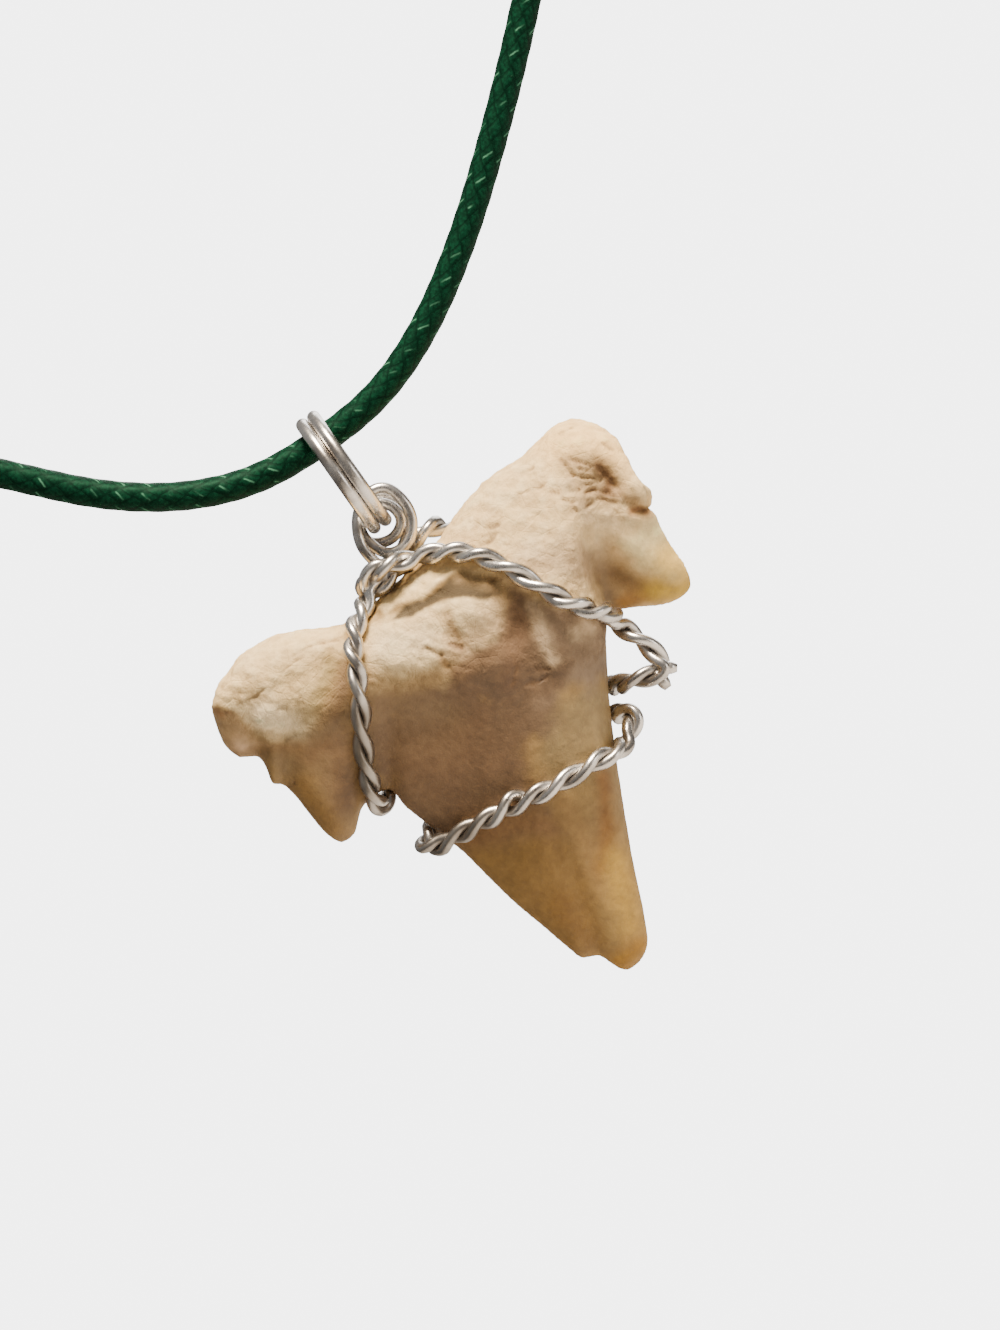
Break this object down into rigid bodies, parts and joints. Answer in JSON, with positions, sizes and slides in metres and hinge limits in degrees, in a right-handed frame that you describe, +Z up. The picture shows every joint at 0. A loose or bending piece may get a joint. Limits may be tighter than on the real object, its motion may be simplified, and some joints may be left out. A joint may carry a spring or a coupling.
{
  "type": "shark tooth pendant necklace",
  "caption": "Necklace of a fossil shark tooth wrapped in twisted silver-coloured wire, hanging by a split ring from a waxed green cord.",
  "frame": {"origin": "middle of the clasp, where the loop lies on the wearer's nape", "axes": "+Z up, along the hanging line; -Y is the tooth's front; +X to the right seen from the front"},
  "size_m": [0.1557, 0.013, 0.1755],
  "materials": {
    "fossil_tooth": "dull fossil tooth, cream root and tan crown",
    "silver_wire": "bright, slightly tarnished silver colour",
    "green_cord": "waxed braid",
    "clasp_metal": "satin"
  },
  "bodies": {
    "cord": {"neck_cord": "green_cord", "barrel_clasp": "clasp_metal"},
    "ring": {"bail_ring": "silver_wire"},
    "pendant": {"shark_tooth": "fossil_tooth", "wire_wrap": "silver_wire"}
  },
  "joints": [
    {"name": "ring_swing", "type": "hinge", "parent": "cord", "child": "ring", "pos_m": [0, 0, -0.132], "axis": [1, 0, 0], "range_deg": [-90, 90]},
    {"name": "tooth_swing", "type": "hinge", "parent": "ring", "child": "pendant", "pos_m": [0, 0, -0.1387], "axis": [0, 1, 0], "range_deg": [-30, 30]}
  ]
}
